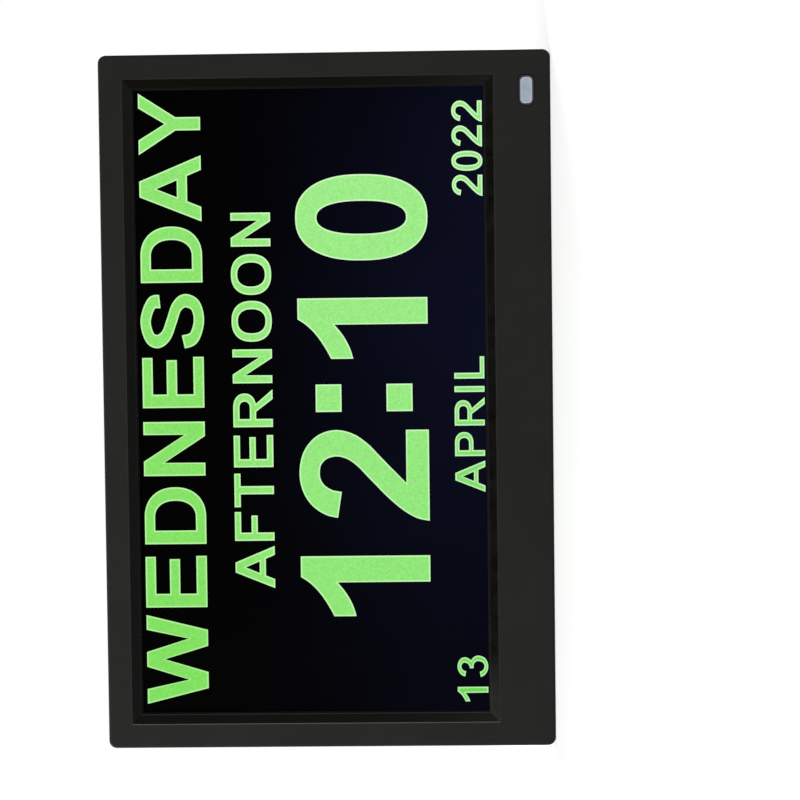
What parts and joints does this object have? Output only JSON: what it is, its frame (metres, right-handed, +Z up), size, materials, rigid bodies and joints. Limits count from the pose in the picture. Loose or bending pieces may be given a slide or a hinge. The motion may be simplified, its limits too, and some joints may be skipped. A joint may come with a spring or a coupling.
{
  "type": "day clock",
  "caption": "Landscape LCD day clock in a slim black housing with a mitred screen frame, folding back stand, rear keys, keyhole slots and side sockets.",
  "frame": {"origin": "middle of the flat underside, halfway through the depth", "axes": "+X to the viewer's right, +Y from the front face to the back, +Z up"},
  "size_m": [0.247, 0.024, 0.16],
  "materials": {
    "housing": "fine matt grain",
    "lens": "milky infrared window",
    "screen": "anti-glare LCD surface",
    "foam": "closed-cell foam",
    "sheet_steel": "zinc plated",
    "film": "diffusing film",
    "light_guide": "clear acrylic",
    "circuit_board": "solder mask",
    "component": "moulded epoxy",
    "ferrite": "sintered",
    "can": "drawn can",
    "cell": "nickel plated",
    "connector": "moulded nylon",
    "flex": "polyimide film",
    "ribbon": "flat ribbon",
    "contact": "plated",
    "socket_shell": "nickel plated sheet",
    "key": "satin",
    "paper": "paper cone",
    "magnet": "plated pot",
    "screw": "black zinc",
    "pin_steel": "drawn rod",
    "foot": "soft rubber"
  },
  "bodies": {
    "housing": {"front_bezel": "housing", "ir_window": "lens", "ir_board": "circuit_board", "ir_receiver": "component", "lcd_gasket": "foam", "lcd_front_frame": "sheet_steel", "lcd_glass": "screen", "optical_films": "film", "light_guide": "light_guide", "backlight_tray": "sheet_steel", "backlight_strip": "connector", "lcd_strap_left": "sheet_steel", "lcd_strap_right": "sheet_steel", "main_board": "circuit_board", "processor_chip": "component", "memory_chip": "component", "power_coil": "ferrite", "board_capacitors": "can", "coin_cell_holder": "component", "coin_cell": "cell", "dc_jack": "component", "dc_pin": "contact", "usb_shell": "socket_shell", "usb_tongue": "component", "card_socket": "socket_shell", "flex_connector": "connector", "display_flex": "flex", "key_board": "circuit_board", "tact_switches": "component", "key_ribbon": "ribbon", "rear_cover": "housing", "stand_pin": "pin_steel", "stand_washers": "pin_steel", "cover_screws": "screw", "speaker_frame_left": "sheet_steel", "speaker_magnet_left": "magnet", "speaker_cone_left": "paper", "speaker_frame_right": "sheet_steel", "speaker_magnet_right": "magnet", "speaker_cone_right": "paper"},
    "stand": {"stand_leg": "housing", "stand_foot": "foot"},
    "power_key": {"key_power": "key", "plunger_power": "component"},
    "menu_key": {"key_menu": "key", "plunger_menu": "component"},
    "left_key": {"key_left": "key", "plunger_left": "component"},
    "up_key": {"key_up": "key", "plunger_up": "component"},
    "down_key": {"key_down": "key", "plunger_down": "component"},
    "right_key": {"key_right": "key", "plunger_right": "component"},
    "ok_key": {"key_ok": "key", "plunger_ok": "component"}
  },
  "joints": [
    {"name": "stand_fold", "type": "hinge", "parent": "housing", "child": "stand", "pos_m": [0, 0.009, 0.096], "axis": [1, 0, 0], "range_deg": [0, 30]},
    {"name": "power_press", "type": "slide", "parent": "housing", "child": "power_key", "axis": [0, -1, 0], "range_m": [0, 0.0005], "stiffness_N_per_m": 1500},
    {"name": "menu_press", "type": "slide", "parent": "housing", "child": "menu_key", "axis": [0, -1, 0], "range_m": [0, 0.0005], "stiffness_N_per_m": 1500},
    {"name": "left_press", "type": "slide", "parent": "housing", "child": "left_key", "axis": [0, -1, 0], "range_m": [0, 0.0005], "stiffness_N_per_m": 1500},
    {"name": "up_press", "type": "slide", "parent": "housing", "child": "up_key", "axis": [0, -1, 0], "range_m": [0, 0.0005], "stiffness_N_per_m": 1500},
    {"name": "down_press", "type": "slide", "parent": "housing", "child": "down_key", "axis": [0, -1, 0], "range_m": [0, 0.0005], "stiffness_N_per_m": 1500},
    {"name": "right_press", "type": "slide", "parent": "housing", "child": "right_key", "axis": [0, -1, 0], "range_m": [0, 0.0005], "stiffness_N_per_m": 1500},
    {"name": "ok_press", "type": "slide", "parent": "housing", "child": "ok_key", "axis": [0, -1, 0], "range_m": [0, 0.0005], "stiffness_N_per_m": 1500}
  ]
}
